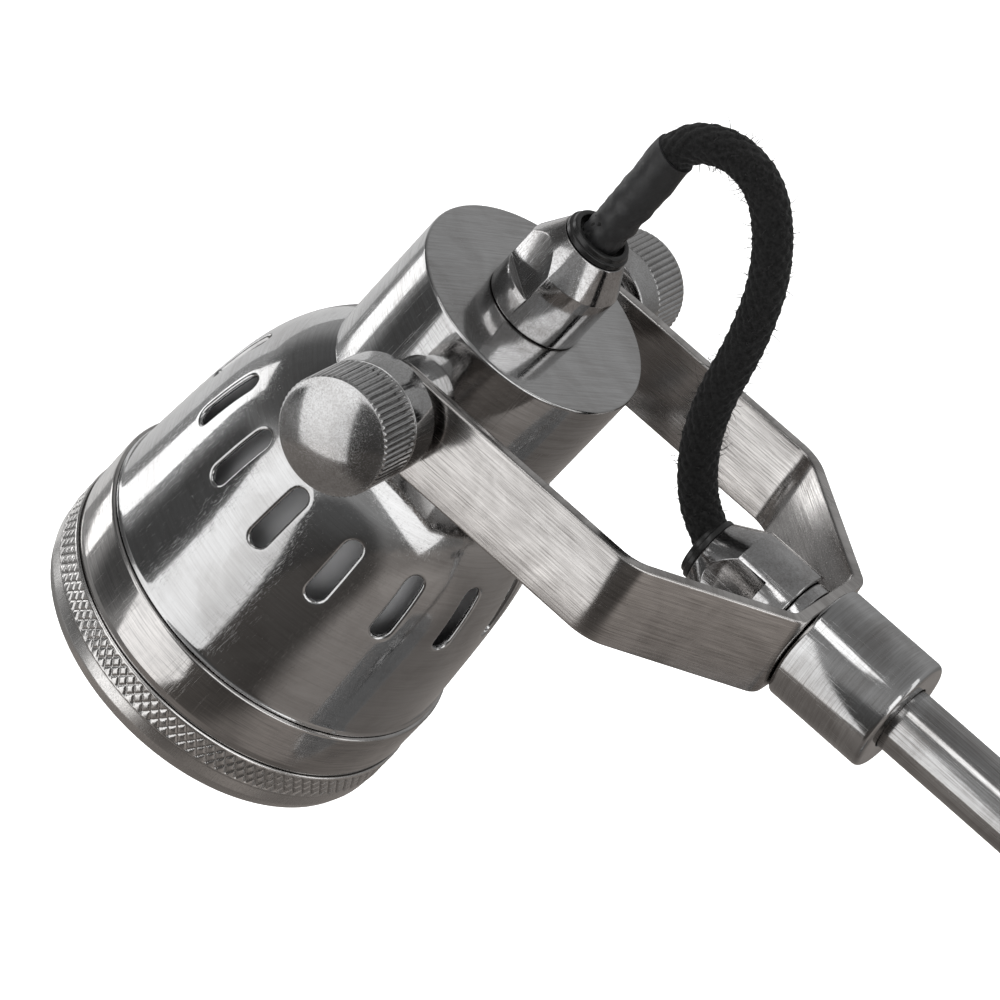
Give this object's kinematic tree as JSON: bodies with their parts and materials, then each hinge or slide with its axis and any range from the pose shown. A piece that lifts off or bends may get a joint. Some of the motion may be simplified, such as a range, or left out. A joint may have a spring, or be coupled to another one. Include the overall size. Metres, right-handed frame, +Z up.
{
  "type": "desk lamp",
  "caption": "Jointed desk lamp in burnished nickel: weighted round base, two tube arms with clamp knobs, flat-bar yoke, vented bell shade with knurled front ring, cotton cord loop.",
  "frame": {"origin": "centre of the round base's resting face, on the surface the lamp stands on", "axes": "+Z up; the arms swing in the XZ plane with the head on the -X side at rest; every pivot axis runs along Y, with the clamp knobs of the shoulder and elbow on the -Y side"},
  "size_m": [0.4451, 0.2348, 0.6844],
  "materials": {
    "burnished_nickel": "burnished antique nickel, hand polished, fine scratches, darker in the grooves",
    "brushed_nickel": "antique nickel with a linear brushed grain",
    "nickel_on_iron": "burnished nickel plate over a cast iron weight",
    "black_rubber": "smooth black rubber",
    "friction_fibre": "pressed fibre",
    "black_cotton": "fuzzy braided black cotton",
    "shrink_sleeve": "matt black heat-shrink",
    "spun_aluminium": "spun and satin polished",
    "porcelain": "glazed white porcelain",
    "lamp_brass": "thin rolled brass",
    "opal_glass": "opal white glass"
  },
  "bodies": {
    "base": {"base_pad": "black_rubber", "base_plate": "nickel_on_iron", "base_hub": "burnished_nickel", "base_bolt": "brushed_nickel", "base_bolt_washer": "brushed_nickel", "swivel_bearing": "friction_fibre", "inlet_gland": "burnished_nickel", "inlet_grommet": "black_rubber"},
    "post": {"swivel_post": "burnished_nickel", "shoulder_washer_near": "friction_fibre", "shoulder_washer_far": "friction_fibre", "shoulder_bolt": "brushed_nickel", "shoulder_cap_nut": "burnished_nickel", "shoulder_knob_washer": "burnished_nickel"},
    "shoulder_knob": {"shoulder_knob": "burnished_nickel"},
    "lower_arm": {"lower_arm_foot": "burnished_nickel", "lower_arm_tube": "brushed_nickel", "elbow_fork": "burnished_nickel", "elbow_washer_near": "friction_fibre", "elbow_washer_far": "friction_fibre", "elbow_bolt": "brushed_nickel", "elbow_cap_nut": "burnished_nickel", "elbow_knob_washer": "burnished_nickel"},
    "elbow_knob": {"elbow_knob": "burnished_nickel"},
    "upper_arm": {"upper_arm_foot": "burnished_nickel", "upper_arm_tube": "brushed_nickel", "arm_collar": "burnished_nickel"},
    "yoke": {"yoke": "brushed_nickel", "yoke_gland_nut": "burnished_nickel", "yoke_gland": "burnished_nickel", "yoke_grommet": "black_rubber", "cord": "black_cotton", "head_knob_washer_near": "burnished_nickel", "head_knob_washer_far": "burnished_nickel"},
    "head": {"bell_shade": "burnished_nickel", "cap_housing": "brushed_nickel", "shade_band": "burnished_nickel", "reflector": "spun_aluminium", "lamp_holder": "porcelain", "holder_plate": "spun_aluminium", "lamp_base": "lamp_brass", "lamp_globe": "opal_glass", "pivot_boss_near": "burnished_nickel", "pivot_boss_far": "burnished_nickel", "pivot_nut_near": "brushed_nickel", "pivot_nut_far": "brushed_nickel", "head_gland": "burnished_nickel", "head_grommet": "black_rubber", "head_gland_nut": "brushed_nickel", "cord_sleeve": "shrink_sleeve"},
    "head_knob_near": {"head_knob_near": "burnished_nickel", "head_stud_near": "brushed_nickel"},
    "head_knob_far": {"head_knob_far": "burnished_nickel", "head_stud_far": "brushed_nickel"},
    "front_ring": {"front_ring": "burnished_nickel"}
  },
  "joints": [
    {"name": "base_swivel", "type": "hinge", "parent": "base", "child": "post", "pos_m": [0, 0, 0.0403], "axis": [0, 0, 1], "range_deg": [-170, 170]},
    {"name": "shoulder_tilt", "type": "hinge", "parent": "post", "child": "lower_arm", "pos_m": [0, 0, 0.08], "axis": [0, 1, 0], "range_deg": [-20, 60]},
    {"name": "shoulder_knob_turn", "type": "hinge", "parent": "post", "child": "shoulder_knob", "pos_m": [0, 0, 0.08], "axis": [0, -1, 0], "range_deg": [0, 270]},
    {"name": "elbow_bend", "type": "hinge", "parent": "lower_arm", "child": "upper_arm", "pos_m": [0.12313, 0, 0.41829], "axis": [0, -1, 0], "range_deg": [-60, 30]},
    {"name": "elbow_knob_turn", "type": "hinge", "parent": "lower_arm", "child": "elbow_knob", "pos_m": [0.12313, 0, 0.41829], "axis": [0, -1, 0], "range_deg": [0, 270]},
    {"name": "yoke_roll", "type": "hinge", "parent": "upper_arm", "child": "yoke", "pos_m": [-0.11402, 0, 0.56995], "axis": [0.8425, 0, -0.5388], "range_deg": [-90, 90]},
    {"name": "head_tilt", "type": "hinge", "parent": "yoke", "child": "head", "pos_m": [-0.197, 0, 0.62302], "axis": [0, 1, 0], "range_deg": [-50, 35], "deforming": ["cord"]},
    {"name": "head_knob_near_turn", "type": "hinge", "parent": "head", "child": "head_knob_near", "pos_m": [-0.197, 0, 0.62302], "axis": [0, -1, 0], "range_deg": [0, 270]},
    {"name": "head_knob_far_turn", "type": "hinge", "parent": "head", "child": "head_knob_far", "pos_m": [-0.197, 0, 0.62302], "axis": [0, 1, 0], "range_deg": [0, 270]},
    {"name": "front_ring_turn", "type": "hinge", "parent": "head", "child": "front_ring", "pos_m": [-0.26772, 0, 0.54393], "axis": [0.6665, 0, 0.7455], "range_deg": [0, 360]}
  ]
}
